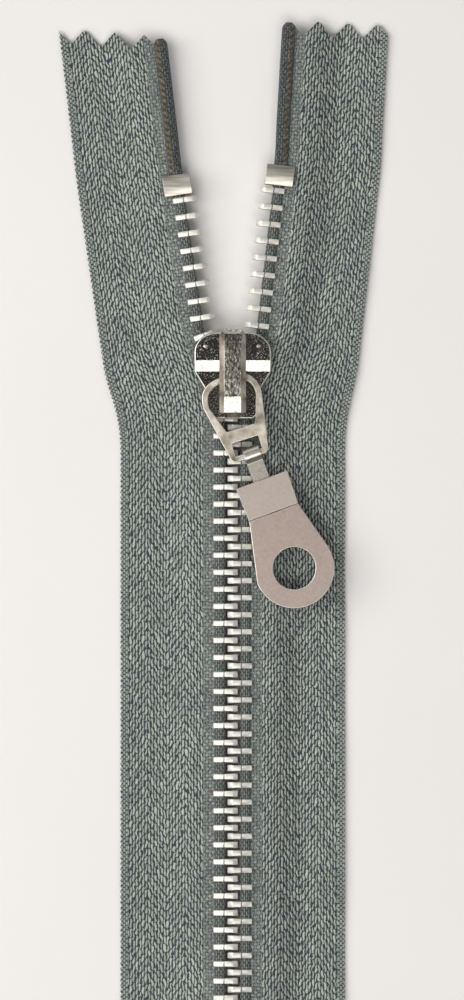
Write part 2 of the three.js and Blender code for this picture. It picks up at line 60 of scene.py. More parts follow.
# How many degrees an open side's parts lean, and where each part ends on the closed chain.
OPEN_SIDES = {
    "left": dict(side=-1, leg=8.3, mouth=19.2, tail=1.6,
                 meets=-2.57, mouth_top=7.35, leg_top=17.27, stop=26.705),
    "right": dict(side=1, leg=6.5, mouth=17.5, tail=3.2,
                  meets=-1.33, mouth_top=6.11, leg_top=18.51, stop=27.945),
}
STOP_LENGTH = 3.0
TAIL_BEND_BELOW = 2
TAIL_BEND_LENGTH = 8
TAPE_INNER = 2.2
TAPE_OUTER = 16.3
TAPE_FOOT = -142.4
TAPE_THICK = 0.5
MARGIN_Z = 0.35
FALL_FROM = 5.2
FALL_WIDTH = 5.3
WAVES_FROM = 8
WAVES_WIDTH = 5
WAVES_LIFT = 0.17
WAVES = [(0.10, 6.1, 0.0), (0.07, 2.9, 1.7)]
PUCKER_HEIGHT = 0.7
PUCKER_LENGTH = 6
PUCKER_WIDTH = 3
PUCKER_AT = 11.5
PUCKER_Y = -1
PUCKER_LEAN = 0.5
PUCKER_LEAN_FROM = 9
BEND_FROM = -6.5
BEND_LENGTH = 16.5
BEND_SLANT = 0.444
BEND_AT = 2.8
SPLIT_Y = 11.7
CUT_ENDS = {
    "left": dict(inner=49.0, outer=52.0, valley=1.9, pitch=4.3),
    "right": dict(inner=51.1, outer=51.3, valley=4.0, pitch=4.3),
}
PINK_DEPTH = 2.4
COLUMNS = 30
LOWER_ROWS = 366
UPPER_ROWS = 116
SCALLOP = 0.1


def smooth(t):
    t = np.clip(t, 0, 1)
    return t * t * (3 - 2 * t)


def turned(x, y, centre, degrees):
    cosine = np.cos(np.radians(degrees))
    sine = np.sin(np.radians(degrees))
    dx = x - centre[0]
    dy = y - centre[1]
    return centre[0] + dx * cosine - dy * sine, centre[1] + dx * sine + dy * cosine


def swung_leg(way, x, y):
    return turned(x, y, (way["side"] * BEAD_X, LEG_PIVOT_Y), -way["side"] * way["leg"])


def in_leg(way, x, y):
    """Where a spot of the closed chain is on the open leg, whose tail bends back above the stop."""
    stop_top = way["stop"] + STOP_LENGTH
    bend = way["side"] * way["tail"] * smooth((y - stop_top + TAIL_BEND_BELOW) / TAIL_BEND_LENGTH)
    return swung_leg(way, *turned(x, y, (way["side"] * BEAD_X, stop_top), bend))


def opened_tape(way, away, y):
    x = way["side"] * away
    leg_x, leg_y = in_leg(way, x, y)
    share = smooth((y - BEND_FROM + BEND_SLANT * (away - BEND_AT)) / BEND_LENGTH)
    return x + share * (leg_x - x), y + share * (leg_y - y)


def tape_height(away, y):
    fall = CHAIN_Z - (CHAIN_Z - MARGIN_Z) * smooth((away - FALL_FROM) / FALL_WIDTH)
    wave = sum(height * np.sin(y / length + start) for height, length, start in WAVES)
    outer = smooth((away - WAVES_FROM) / WAVES_WIDTH)
    along = (y - PUCKER_Y + PUCKER_LEAN * (away - PUCKER_LEAN_FROM)) / PUCKER_LENGTH
    across = (away - PUCKER_AT) / PUCKER_WIDTH
    pucker = PUCKER_HEIGHT * np.exp(-(along ** 2)) * np.exp(-(across ** 2))
    return fall + outer * (WAVES_LIFT + wave) + pucker


def foot(side_name, away):
    return away * 0 + TAPE_FOOT


def split(side_name, away):
    return SPLIT_Y - BEND_SLANT * (away - BEND_AT)


def pinked_end(side_name, away):
    cut = CUT_ENDS[side_name]
    line = cut["inner"] + (cut["outer"] - cut["inner"]) * (away - TAPE_INNER) / (TAPE_OUTER - TAPE_INNER)
    step = (away - cut["valley"]) / cut["pitch"] % 1
    return line + PINK_DEPTH * (0.5 - 2 * abs(step - 0.5))


def new_piece(name, mesh):
    piece = bpy.data.objects.new(name, mesh)
    bpy.context.collection.objects.link(piece)
    return piece


def select_only(piece):
    bpy.ops.object.select_all(action="DESELECT")
    piece.select_set(True)
    bpy.context.view_layer.objects.active = piece


def tape_piece(name, side_name, low, high, rows):
    """Cloth between two cut lines, with a front, a back, a wall round it and a looped outer edge."""
    way = OPEN_SIDES[side_name]
    away, step = np.meshgrid(np.linspace(TAPE_INNER, TAPE_OUTER, COLUMNS + 1), np.linspace(0, 1, rows + 1))
    away[:, -1] += SCALLOP * np.where(np.arange(rows + 1) % 2, -1, 1)
    bottom = low(side_name, away)
    y = bottom + (high(side_name, away) - bottom) * step
    flat_x, flat_y = opened_tape(way, away, y)
    height = tape_height(away, y)
    count = away.size
    corners = np.zeros((2 * count, 3))
    corners[:, 0] = np.tile(flat_x.ravel(), 2)
    corners[:, 1] = np.tile(flat_y.ravel(), 2)
    corners[:count, 2] = height.ravel() + TAPE_THICK / 2
    corners[count:, 2] = height.ravel() - TAPE_THICK / 2
    place = np.arange(count).reshape(away.shape)
    front = np.stack([place[:-1, :-1], place[:-1, 1:], place[1:, 1:], place[1:, :-1]], -1).reshape(-1, 4)
    back = front[:, ::-1] + count
    rim = np.concatenate([place[0, :], place[1:, -1], place[-1, -2::-1], place[-2::-1, 0]])
    wall = np.stack([rim[1:], rim[:-1], rim[:-1] + count, rim[1:] + count], -1)
    faces = np.concatenate([front, back, wall])
    if way["side"] < 0:
        faces = faces[:, ::-1]
    mesh = bpy.data.meshes.new(name)
    mesh.from_pydata((corners * MM).tolist(), [], faces.tolist())
    thread = np.stack([np.tile(away.ravel(), 2), np.tile(y.ravel(), 2)], -1)
    mesh.uv_layers.new(name="thread").data.foreach_set("uv", thread[faces.ravel()].ravel())
    piece = new_piece(name, mesh)
    select_only(piece)
    bpy.ops.object.shade_smooth_by_angle(angle=math.radians(60))
    return piece


class Thread:
    """A socket in a material. Arithmetic on it adds Math nodes."""

    def __init__(self, finish, socket):
        self.finish = finish
        self.socket = socket

    def math(self, operation, *values):
        return self.finish.node("ShaderNodeMath", dict(operation=operation), *values)

    def above(self, other):
        return self.math("MAXIMUM", self, other)

    def below(self, other):
        return self.math("MINIMUM", self, other)

    def __add__(self, other):
        return self.math("ADD", self, other)

    def __sub__(self, other):
        return self.math("SUBTRACT", self, other)

    def __rsub__(self, other):
        return self.math("SUBTRACT", other, self)

    def __mul__(self, other):
        return self.math("MULTIPLY", self, other)

    def __truediv__(self, other):
        return self.math("DIVIDE", self, other)

    def __pow__(self, other):
        return self.math("POWER", self, other)

    def __mod__(self, other):
        return self.math("FLOORED_MODULO", self, other)

    def __lt__(self, other):
        return self.math("LESS_THAN", self, other)

    def __gt__(self, other):
        return self.math("GREATER_THAN", self, other)

    def __abs__(self):
        return self.math("ABSOLUTE", self)

    def __floor__(self):
        return self.math("FLOOR", self)

    __radd__ = __add__
    __rmul__ = __mul__


class Finish:
    """A material on its Principled surface, with one method that adds any node."""

    def __init__(self, name, **sockets):
        self.material = bpy.data.materials.new(name)
        self.material.use_nodes = True
        self.tree = self.material.node_tree
        self.surface = self.tree.nodes["Principled BSDF"]
        for socket, value in sockets.items():
            self.surface.inputs[socket.replace("_", " ")].default_value = value

    def node(self, kind, settings=None, *values, out=0, **named):
        node = self.tree.nodes.new(kind)
        for setting, value in (settings or {}).items():
            setattr(node, setting, value)
        for key, value in [*enumerate(values), *named.items()]:
            self.put(node.inputs[key if isinstance(key, int) else key.replace("_", " ")], value)
        return Thread(self, node.outputs[out])

    def put(self, socket, value):
        if isinstance(value, Thread):
            self.tree.links.new(value.socket, socket)
        else:
            socket.default_value = value

    def to(self, name, value):
        self.put(self.surface.inputs[name], value)

    def place(self, **mapping):
        """Object coordinates, moved or stretched where a mapping is given."""
        place = self.node("ShaderNodeTexCoord", out="Object")
        return self.node("ShaderNodeMapping", {}, place, **mapping) if mapping else place

    def thread_place(self):
        """The two numbers of the piece's own map: across the thread, then along it."""
        place = self.node("ShaderNodeUVMap", dict(uv_map="thread"))
        return [self.node("ShaderNodeSeparateXYZ", {}, place, out=axis) for axis in (0, 1)]

    def noise(self, scale, detail=2.0, vector=None):
        return self.node("ShaderNodeTexNoise", {}, Vector=vector or self.place(), Scale=scale, Detail=detail)

    def mix(self, share, first, second):
        """Mixes two colours. A Mix node of colours has them at 6 and 7, and its result at 2."""
        mixed = self.node("ShaderNodeMix", dict(data_type="RGBA"), share, out=2)
        self.put(mixed.socket.node.inputs[6], first)
        self.put(mixed.socket.node.inputs[7], second)
        return mixed

    def bump(self, height, strength, distance):
        bumped = self.node("ShaderNodeBump", {}, Strength=strength, Distance=distance, Height=height)
        self.to("Normal", bumped)


def linear(*colour):
    """A colour given in parts of 255, as a socket takes it."""
    return [*(((part / 255 + 0.055) / 1.055) ** 2.4 if part > 10 else part / 3295 for part in colour), 1]


def fraction(value):
    return value - math.floor(value)


LIGHT_YARN = linear(194, 201, 188)
# The dark colour stands for the weft and for painted shade in the gaps between the floats.
DARK_WEFT_AND_SHADE = linear(56, 64, 72)
WARP_FROM = 15.1
WARP_PITCH = 0.451
TWILL_REPEAT = 2.44
BAND = 6
LADDER_TO = 4.3
LADDER_ACROSS = 0.44
LADDER_ALONG = 0.50
SELVEDGE_FROM = 15.3
LOOP_WIDTH = 0.34
LOOP_PITCH = 0.648

twill = Finish("tape_twill", Roughness=0.85, Sheen_Weight=0.15, Sheen_Roughness=0.5,
               Specular_IOR_Level=0.25)
u, v = twill.thread_place()
stray = twill.noise(1300.0)
stray_v = twill.noise(1100.0, vector=twill.place(Location=(3, 5, 7)))
fuzz = twill.noise(9000.0, 3.0)
clump = twill.noise(2600.0, 3.0)
cloud = twill.noise(160.0, 3.0)

# The twill's floats climb from yarn to yarn, and turn back at every sixth.
warp = (WARP_FROM - u) / WARP_PITCH + (stray - 0.5) * 1.25
fall = v / TWILL_REPEAT + (stray_v - 0.5) * 0.55
column = math.floor(warp)
odd_band = math.floor(column / BAND) % 2
way_up = 1 - odd_band * 2
travel = fall + way_up * (column % BAND) * 0.25 + odd_band * 0.75
run = fraction(travel)
slip = fraction(run * 2) - 0.5
under = run > 0.5
across = fraction(warp) - 0.5 - way_up * slip * 0.3
narrow = 2.6 + under * 0.6
grain = (1 - (across * narrow) ** 2 - (slip * 2.0) ** 4).above(0) * (1 - under * 0.12)
cell = twill.node("ShaderNodeCombineXYZ", {}, column, math.floor(travel * 2), 0.0)
chance = twill.node("ShaderNodeTexWhiteNoise", dict(noise_dimensions="3D"), cell)

# A plain ladder of short stitches runs beside the bead, and loops run along the outer edge.
ladder_x = fraction(u / LADDER_ACROSS + (stray - 0.5) * 0.9) - 0.5
ladder_y = fraction(v / LADDER_ALONG + (stray_v - 0.5) * 1.2) - 0.5
odd = (math.floor(u / LADDER_ACROSS) + math.floor(v / LADDER_ALONG)) % 2
upright = (1 - (ladder_x * 2.6) ** 2).above(0) * 0.4
ladder = ((1 - (ladder_y * 2.5) ** 2).above(0) * (odd * 0.8 + 0.1)).above(upright)
ladder = ladder * (fuzz * 3 - 0.7).above(0.1) * (clump * 3.4 - 1.1).above(0.15).below(1.0)
loop_row = (u - SELVEDGE_FROM) / LOOP_WIDTH
loop_x = fraction(loop_row) - 0.5
loop_y = fraction((v - TAPE_FOOT) / LOOP_PITCH + math.floor(loop_row) * 0.5 + (stray_v - 0.5) * 0.8) - 0.5
loop = (1 - (loop_y * 2.5) ** 2).above(0) * (1 - (loop_x * 2.1) ** 2).above(0) * 0.7

near_bead = u < LADDER_TO
at_edge = u > SELVEDGE_FROM
height = grain * (1 - near_bead - at_edge) + ladder * near_bead + loop * at_edge
# The colour follows each float's height. It darkens towards the float's edges and is darkest in the gaps,
# which is painted shade between the yarns over the darker weft.
shade = height ** 0.55 * (chance * 0.35 + 0.68) * (fuzz * 0.7 + 0.65) * (cloud * 0.5 + 0.75)
twill.to("Base Color", twill.mix(shade, DARK_WEFT_AND_SHADE, LIGHT_YARN))
twill.bump(height + fuzz * 0.25, 0.6, 0.00016)

for side_name, way in OPEN_SIDES.items():
    lower = tape_piece(side_name + "_tape_lower", side_name, foot, split, LOWER_ROWS)
    upper = tape_piece(side_name + "_tape_upper", side_name, split, pinked_end, UPPER_ROWS)
    for piece in (lower, upper):
        piece.data.materials.append(twill.material)
    middle_split = split(side_name, (TAPE_INNER + TAPE_OUTER) / 2)
    middle_cut = (CUT_ENDS[side_name]["inner"] + CUT_ENDS[side_name]["outer"]) / 2
    (middle_split - TAPE_FOOT) * MM
    (middle_cut - middle_split) * MM
    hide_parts(side_name + "_tape", side_name + "_leg_tape")
    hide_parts(side_name + "_tail_tape")
    bend_start = np.array([way["side"] * BEND_AT, BEND_FROM])
    slant = np.array([BEND_SLANT * way["side"], 1]) * BEND_LENGTH / (1 + BEND_SLANT ** 2)
    ends = (bend_start, bend_start + slant)
    start, end = (Vector((x, y, CHAIN_Z)) * MM for x, y in ends)
    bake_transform(lower)
    start, end = (Vector((*swung_leg(way, x, y + SLIDE), CHAIN_Z)) * MM for x, y in ends)
    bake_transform(upper)


# Beads. A cord is woven into each tape's inner edge, and the teeth are clamped on it. Between the
# teeth its dark ribbed cover shows; above the stops it is bare, with a brown strand along it.
BEAD_RADIUS = 0.85
BARE_BEAD_RADIUS = 1.05
CORD_SIDES = 14
CORD_STEP = 0.4
CORD_TIP = 1.0
CORD_TIP_SQUEEZE = 0.55
CORD_PAST_CUT = 0.7
AHEAD = 0.01
RIB_WIDTH = 0.36
RIB_LENGTH = 0.9
STRAND_HALF_WIDTH = 0.36
PLAIT_LENGTH = 0.95

ribbed = Finish("bead_cover", Roughness=0.9, Sheen_Weight=0.15, Specular_IOR_Level=0.2)
turn, v = ribbed.thread_place()
lint = ribbed.noise(3600.0, 3.0)
rib = turn / RIB_WIDTH
rib_x = fraction(rib) - 0.5
rib_run = fraction(v / RIB_LENGTH + math.floor(rib) * 0.5) - 0.5
rib_height = (1 - (rib_x * 2) ** 2).above(0) * (1 - (rib_run * 2) ** 4).above(0)
bare = v > OPEN_SIDES["left"]["stop"] + STOP_LENGTH
strand = (abs(turn + 0.5 + (lint - 0.5) * 1.3) < STRAND_HALF_WIDTH) * bare
plait = fraction(v / PLAIT_LENGTH + turn * 0.7) - 0.5
strand_height = 1 - (plait * 2) ** 2
cover_shade = rib_height * (lint * 1.6 - 0.2 - bare * 0.25).above(0)
cover = ribbed.mix(cover_shade, linear(38, 44, 50), linear(160, 168, 160))
brown_shade = strand_height * (lint * 3 - 0.9).above(0.1)
brown = ribbed.mix(brown_shade, linear(54, 54, 52), linear(132, 121, 100))
ribbed.to("Base Color", ribbed.mix(strand, cover, brown))
ribbed.bump(rib_height * (1 - strand) + strand_height * strand + ribbed.noise(9000.0) * 0.3, 0.7, 0.00015)


def closed(way, x, y):
    return x, y


def at_mouth(way, x, y):
    return turned(x, y, (way["side"] * BEAD_X, way["meets"]), -way["side"] * way["mouth"])


def cord_piece(name, way, low, high, to_rest, radius):
    """A length of cord along the bead's line, closed at both ends. A tail's free end is rounded."""
    steps = max(2, round((high - low) / CORD_STEP))
    y, angle = np.meshgrid(np.linspace(low, high, steps + 1),
                           np.linspace(0, 2 * np.pi, CORD_SIDES, endpoint=False), indexing="ij")
    bead_x = y * 0 + way["side"] * BEAD_X
    centre_x, centre_y = to_rest(way, bead_x, y)
    ahead_x, ahead_y = to_rest(way, bead_x, y + AHEAD)
    heading = np.arctan2(ahead_y - centre_y, ahead_x - centre_x)
    tip = np.clip((y - high + CORD_TIP) / CORD_TIP, 0, 1) if name.endswith("tail") else 0 * y
    reach = radius * (1 - CORD_TIP_SQUEEZE * tip ** 2)
    out = reach * np.sin(angle)
    corners = np.stack([centre_x + out * np.sin(heading), centre_y - out * np.cos(heading),
                        CHAIN_Z + reach * np.cos(angle)], -1).reshape(-1, 3) * MM
    place = np.arange(y.size).reshape(y.shape)
    ring = np.roll(place, -1, axis=1)
    faces = np.stack([place[:-1], ring[:-1], ring[1:], place[1:]], -1).reshape(-1, 4)
    caps = [place[0, ::-1].tolist(), place[-1].tolist()]
    mesh = bpy.data.meshes.new(name)
    mesh.from_pydata(corners.tolist(), [], faces.tolist() + caps)
    thread = np.stack([angle, y], -1).reshape(-1, 2)
    thread_of = thread[faces]
    wrap = thread_of[..., 0]
    wrap[(wrap.max(1) - wrap.min(1) > np.pi)[:, None] & (wrap < np.pi)] += 2 * np.pi
    thread_of[..., 0] = (wrap - 2 * np.pi * (wrap.mean(1, keepdims=True) > np.pi)) * radius * -way["side"]
    flat = np.concatenate([thread_of.reshape(-1, 2), thread[place[0, ::-1]], thread[place[-1]]])
    mesh.uv_layers.new(name="thread").data.foreach_set("uv", flat.ravel())
    mesh.shade_smooth()
    return new_piece(name, mesh)


for side_name, way in OPEN_SIDES.items():
    cut_y = CUT_ENDS[side_name]["inner"] + CORD_PAST_CUT
    runs = [
        ("chain", TAPE_FOOT, way["meets"], closed, BEAD_RADIUS),
        ("mouth", way["meets"], way["mouth_top"], at_mouth, BEAD_RADIUS),
        ("leg", way["mouth_top"], way["leg_top"], in_leg, BEAD_RADIUS),
        ("top", way["leg_top"], way["stop"], in_leg, BEAD_RADIUS),
        ("tail", way["stop"], cut_y, in_leg, BARE_BEAD_RADIUS),
    ]
    for part, low, high, to_rest, radius in runs:
        cord = cord_piece(f"{side_name}_cord_{part}", way, low, high, to_rest, radius)
        cord.data.materials.append(ribbed.material)
        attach(cord, part if part == "chain" else f"{side_name}_{part}")
        if part != "chain":
            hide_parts(f"{side_name}_{part}_bead")


# Teeth. Each is a small aluminium bar pressed shut round the bead: a bright satin back with a nick
# in the middle, an eased outer end, and a lower nose that locks between the two teeth facing it.
PITCH = 2.48
FIRST_TOOTH = {"left": 25.95, "right": 27.19}
OPEN_TEETH = {
    "left": [("top", 4), ("leg", 4), ("mouth", 4)],
    "right": [("top", 4), ("leg", 5), ("mouth", 3)],
}
TEETH_A_SIDE = 60
TOOTH_HEIGHT = 2.7
TOOTH_THICK = 0.87
TOOTH_OUT = 2.8
TOOTH_NOSE_TO = -0.75
BACK_FROM = 0.3
BACK_THIN = 0.9
NOSE_FROM = -0.05
NOSE_LOW = 0.68
END_LOW = 0.88
NICK_AT = 1.3
NICK_HALF_WIDTH = 0.1
NICK_DEPTH = 0.2
TOOTH_EDGE = 0.13

satin = Finish("tooth_satin", Metallic=0.3, Specular_IOR_Level=0.6)
grain = satin.noise(2500.0, 3.0)
satin.to("Base Color", satin.mix(satin.noise(700.0), linear(196, 194, 184), linear(250, 248, 240)))
satin.to("Roughness", grain * 0.25 + 0.25)
satin.bump(grain, 0.25, 0.00005)

# The nick's faces get a darker finish: painted shade in the nick.
nick_shade = Finish("tooth_nick_shade", Metallic=0.3)
grain = nick_shade.noise(2500.0)
nick_shade.to("Base Color", nick_shade.mix(grain, linear(104, 100, 90), linear(160, 156, 146)))
nick_shade.to("Roughness", grain * 0.2 + 0.5)


def cut_across(place, direction):
    """Cuts a line round the piece that is being edited, and takes nothing off."""
    bpy.ops.mesh.select_all(action="SELECT")
    bpy.ops.mesh.bisect(plane_co=place, plane_no=direction)


def two_finishes(piece, first, second, has_second):
    piece.data.materials.clear()
    piece.data.materials.append(first.material)
    piece.data.materials.append(second.material)
    for side in piece.data.polygons:
        side.material_index = int(has_second(side))


bpy.ops.mesh.primitive_cube_add(size=1, location=(0, 0, 0))
tooth = bpy.context.object
tooth.name = "tooth_pattern"
bpy.ops.object.mode_set(mode="EDIT")
bpy.ops.transform.resize(value=((TOOTH_OUT - TOOTH_NOSE_TO) * MM, TOOTH_THICK * MM, TOOTH_HEIGHT * MM))
bpy.ops.transform.translate(value=((TOOTH_OUT + TOOTH_NOSE_TO) / 2 * MM, 0, 0))
for cut_x in (NOSE_FROM, BACK_FROM, NICK_AT - NICK_HALF_WIDTH, NICK_AT, NICK_AT + NICK_HALF_WIDTH):
    cut_across((cut_x * MM, 0, 0), (1, 0, 0))
bpy.ops.object.mode_set(mode="OBJECT")
for corner in tooth.data.vertices:
    x, y, z = corner.co / MM
    if x > BACK_FROM - 0.1:
        corner.co.y *= BACK_THIN
    if x < TOOTH_NOSE_TO + 0.1:
        corner.co.z *= NOSE_LOW
    if x > TOOTH_OUT - 0.1:
        corner.co.z *= END_LOW
    if abs(x - NICK_AT) < NICK_HALF_WIDTH / 2:
        corner.co.z -= math.copysign(NICK_DEPTH * MM, z)
ease = tooth.modifiers.new("eased_edges", "BEVEL")
ease.width = TOOTH_EDGE * MM
ease.segments = 2
ease.limit_method = "ANGLE"
ease.angle_limit = math.radians(25)
bpy.ops.object.modifier_apply(modifier=ease.name)
bpy.ops.object.shade_smooth_by_angle(angle=math.radians(40))
# The faces inside the nick take the darker finish, a painted shade.
two_finishes(tooth, satin, nick_shade, lambda side: abs(side.center.x / MM - NICK_AT) < NICK_HALF_WIDTH + 0.01)


def tooth_copy(name, way, y, to_rest):
    """A copy of the tooth, mirrored by a half turn on the left side, set on the bead's line."""
    mesh = tooth.data.copy()
    if way["side"] < 0:
        mesh.transform(Matrix.Rotation(math.pi, 4, "Z"))
    x0, y0 = to_rest(way, way["side"] * BEAD_X, y)
    x1, y1 = to_rest(way, way["side"] * BEAD_X, y + AHEAD)
    spin = Matrix.Rotation(math.atan2(y1 - y0, x1 - x0) - math.pi / 2, 4, "Z")
    hold = Matrix.Translation((-way["side"] * BEAD_X * MM, 0, 0))
    mesh.transform(Matrix.Translation((x0 * MM, y0 * MM, CHAIN_Z * MM)) @ spin @ hold)
    return new_piece(name, mesh)


for side_name, way in OPEN_SIDES.items():
    number = 0
    for part, count in OPEN_TEETH[side_name]:
        for _ in range(count):
            y = FIRST_TOOTH[side_name] - PITCH * number
            number += 1
            name = f"{side_name}_tooth_{number:02d}"
            piece = tooth_copy(name + "_bar", way, y, at_mouth if part == "mouth" else in_leg)
            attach(piece, f"{side_name}_{part}")
            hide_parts(name)
    bpy.ops.object.select_all(action="DESELECT")
    for place in range(number, TEETH_A_SIDE):
        row = tooth_copy(f"{side_name}_row", way, FIRST_TOOTH[side_name] - PITCH * place, closed)
        row.select_set(True)
    bpy.context.view_layer.objects.active = row
    bpy.ops.object.join()
    row.name = side_name + "_row_bars"
    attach(row, "chain")
    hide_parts(side_name + "_tooth_row")
bpy.data.objects.remove(tooth)


# Stops. A bent metal clip is pressed over the bead at each upper end, with a crowned back and a
# rolled grain along it. One plain bar is pressed over both beads at the lower end.
STOP_ROLL = 0.1
STOP_CREST = 0.3
STOP_CUTS = (-0.8, -0.55, -0.3, 0, 0.3, 0.55, 0.8)
STOP_EDGE = 0.4
BOTTOM_STOP_EDGE = 0.25
WELD = 0.002


def ease_edges(piece, edge, segments=3, angle=35, creases=()):
    """Rounds the sharp edges. Flats stay flat, and creases across the piece at the given y stay sharp."""
    select_only(piece)
    ease = piece.modifiers.new("eased_edges", "BEVEL")
    ease.width = edge * MM
    ease.segments = segments
    ease.limit_method = "ANGLE"
    ease.angle_limit = math.radians(angle)
    bpy.ops.object.modifier_apply(modifier=ease.name)
    bpy.ops.object.shade_smooth_by_angle(angle=math.radians(35))
    form = bmesh.new()
    form.from_mesh(piece.data)
    for line in form.edges:
        for crease in creases:
            if all(abs(corner.co.y / MM - crease) < 0.06 for corner in line.verts):
                line.smooth = False
    form.to_mesh(piece.data)
    form.free()
    flats = piece.modifiers.new("flat_faces", "WEIGHTED_NORMAL")
    flats.keep_sharp = True
    bpy.ops.object.modifier_apply(modifier=flats.name)


def worked_copy(node, name, edge):
    """A CAD solid's shape, with its corners welded, its flats joined and its edges eased."""
    piece = new_piece(name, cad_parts[node].data.copy())
    select_only(piece)
    bpy.ops.object.mode_set(mode="EDIT")
    bpy.ops.mesh.select_all(action="SELECT")
    bpy.ops.mesh.remove_doubles(threshold=WELD * MM)
    bpy.ops.mesh.dissolve_limited(angle_limit=math.radians(1))
    bpy.ops.object.mode_set(mode="OBJECT")
    if edge:
        ease_edges(piece, edge)
    piece.data.materials.clear()
    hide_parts(node)
    return piece


nickel = Finish("bright_nickel", Metallic=1.0)
mottle = nickel.noise(1500.0, 4.0)
nickel.to("Base Color", nickel.mix(mottle, linear(205, 200, 188), linear(238, 234, 224)))
nickel.to("Roughness", mottle * 0.2 + 0.14)
nickel.bump(nickel.noise(4200.0), 0.12, 0.00004)

rolled = Finish("stop_nickel", Metallic=1.0)
streak = rolled.noise(1900.0, 4.0, rolled.place(Scale=(0.12, 1.4, 1.0)))
rolled.to("Base Color", rolled.mix(streak * 1.8 - 0.4, linear(156, 151, 138), linear(236, 232, 222)))
rolled.to("Roughness", streak * 0.2 + 0.3)
rolled.bump(streak, 0.3, 0.00004)

for side_name, way in OPEN_SIDES.items():
    stop = worked_copy(side_name + "_top_stop", side_name + "_stop_clip", 0)
    middle_y = way["stop"] + STOP_LENGTH / 2
    centre = np.array(in_leg(way, way["side"] * BEAD_X, middle_y))
    ahead = np.array(in_leg(way, way["side"] * BEAD_X, middle_y + AHEAD)) - centre
    ahead = ahead / np.linalg.norm(ahead)
    bpy.ops.object.mode_set(mode="EDIT")
    for share in STOP_CUTS:
        x, y = (centre + ahead * share * STOP_LENGTH / 2) * MM
        cut_across((x, y, 0), (ahead[0], ahead[1], 0))
    bpy.ops.object.mode_set(mode="OBJECT")
    crest = max(corner.co.z for corner in stop.data.vertices)
    for corner in stop.data.vertices:
        if corner.co.z > crest - STOP_CREST * MM:
            along = (corner.co.x / MM - centre[0]) * ahead[0] + (corner.co.y / MM - centre[1]) * ahead[1]
            corner.co.z -= STOP_ROLL * along ** 2 * MM
    ease_edges(stop, STOP_EDGE, 4, 40)
    stop.data.materials.append(rolled.material)
    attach(stop, side_name + "_tail")
stop = worked_copy("bottom_stop", "bottom_stop_bar", BOTTOM_STOP_EDGE)
stop.data.materials.append(nickel.material)
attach(stop, "chain")


# Slider. A die-cast body of two plates on a wedge, plated and tumbled so that its flats are dark
# mirrors with fine specks; its rims carry a painted highlight, a paler nickel. Its upper plate steps down
# across the middle in one bright facet. A bowed crown spans it, over a spring that locks the teeth.
PLATE_HALF_LENGTH = 6.28
PLATE_HALF_WIDTH = 5.6
NOSE_HALF_WIDTH = 2.26
SHOULDER_FROM = 3.4
SHOULDER_STEPS = 8
TAIL_SIDE = [(5.6, 0.6), (4.2, -1.7), (3.75, -2.5), (3.75, -5.48), (2.95, -6.28)]
WAY_OUTLINE = [(-2.98, -7.3), (2.98, -7.3), (2.98, -2.57), (6.41, 7.3), (-6.41, 7.3), (-2.98, -2.57)]
WEDGE_SIDE = [(0.15, 2.18), (1.2, 5.78), (0.8, 6.18)]
FACE_LEVELS = (4.0, 5.02)
BACK_LEVELS = (0.0, 1.0)
WEDGE_LEVELS = (0.9, 4.1)
WAY_LEVELS = (0.5, 4.5)
FLANGE_LEVELS = [(0.9, 1.9), (3.1, 4.1)]
FLANGE_SHARE = (0.985, 0.99)
PLATE_EDGE = 0.2
STEP_FROM = 2.2
STEP_TO = 0.65
STEP_UP = 0.3
PIP_PLACES = [(-3.95, 4.25), (3.75, 4.25)]
PIP_RADIUS = 0.36
RIM_ABOVE = 4.8
RIM_SLOPE = (0.3, 0.975)
CROWN_CUTS_Y = (5.7, 3.2, 1.6, 0.0, -1.6)
CROWN_CUTS_X = (-1.25, 1.25)
CROWN_BOW_FROM = 4.0
CROWN_BOW_TO = -3.1
CROWN_BOW = 0.0045
CROWN_CORNER_DROP = 0.55
CROWN_NOSE_TAPER = 0.8
CROWN_SIDE_SLOPE = 0.15

cast = Finish("cast_mirror", Metallic=1.0)
speck = cast.node("ShaderNodeTexVoronoi", dict(feature="F1"), Vector=cast.place(), Scale=3600.0,
                  out="Distance")
flow = cast.noise(1100.0, 4.0)
spots = ((cast.noise(5200.0) - 0.56) * 9).above(0).below(1)
cast.to("Base Color", cast.mix(flow, linear(66, 60, 50), linear(232, 228, 218)))
cast.to("Roughness", spots * 0.4 + 0.07)
cast.bump((1 - speck * 1.6).above(0) ** 2 + flow, 0.06, 0.00003)

# A paler, rougher nickel for sloped edge faces: a painted highlight along rims and eased edges.
highlight_nickel = Finish("highlight_nickel", Metallic=1.0)
mottle = highlight_nickel.noise(1500.0, 3.0)
highlight_nickel.to("Base Color", highlight_nickel.mix(mottle, linear(222, 216, 204), linear(255, 252, 244)))
highlight_nickel.to("Roughness", mottle * 0.2 + 0.32)

soft_nickel = Finish("link_nickel", Metallic=1.0)
mottle = soft_nickel.noise(1300.0, 4.0)
patches = soft_nickel.noise(520.0, 5.0) * 2.4 - 0.7
soft_nickel.to("Base Color", soft_nickel.mix(patches, linear(112, 104, 88), linear(230, 222, 208)))
soft_nickel.to("Roughness", mottle * 0.2 + 0.38)
soft_nickel.bump(mottle, 0.3, 0.00005)

worn = Finish("crown_nickel", Metallic=1.0)
scratch = worn.noise(3600.0, 6.0, worn.place(Scale=(1.0, 0.45, 1.0)))
worn.to("Base Color", worn.mix(scratch * 2.6 - 0.8, linear(116, 110, 98), linear(238, 234, 224)))
worn.to("Roughness", scratch * 0.35 + 0.06)
worn.bump(scratch, 0.25, 0.00004)


def both_sides(half):
    return half + [(-x, y) for x, y in reversed(half)]


